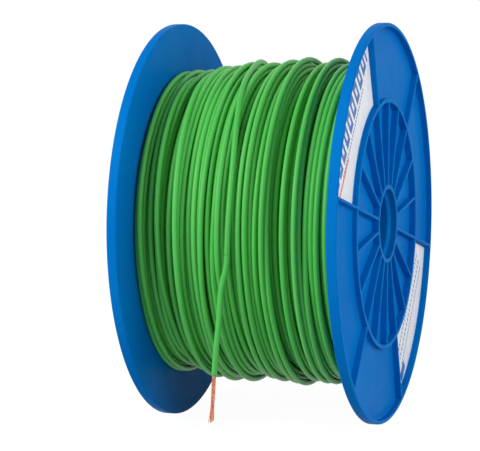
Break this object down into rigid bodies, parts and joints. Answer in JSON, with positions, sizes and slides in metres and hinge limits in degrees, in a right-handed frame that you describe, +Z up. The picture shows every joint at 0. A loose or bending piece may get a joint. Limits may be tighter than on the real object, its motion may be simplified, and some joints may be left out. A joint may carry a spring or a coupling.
{
  "type": "wire spool",
  "caption": "Moulded plastic spool with ribbed hub and wide flanges, wound with flexible green wire whose stripped end hangs free.",
  "frame": {"origin": "middle of the through bore, at mid-width of the spool", "axes": "+X along the spool's axis towards the labelled flange, +Z up, -Y towards the side where the free end of the wire hangs down"},
  "size_m": [0.112, 0.2, 0.2],
  "materials": {
    "spool_plastic": "smooth injection-moulded polystyrene, satin sheen",
    "label_paper": "coated paper label",
    "wire_insulation": "extruded PVC, soft sheen",
    "copper": "bare drawn copper strands"
  },
  "bodies": {
    "root": {"spool_half_right": "spool_plastic", "spool_half_left": "spool_plastic", "label_upper": "label_paper", "label_lower": "label_paper", "winding_core": "wire_insulation", "winding_outer": "wire_insulation", "wire_tail": "wire_insulation", "copper_strands": "copper"}
  },
  "joints": []
}
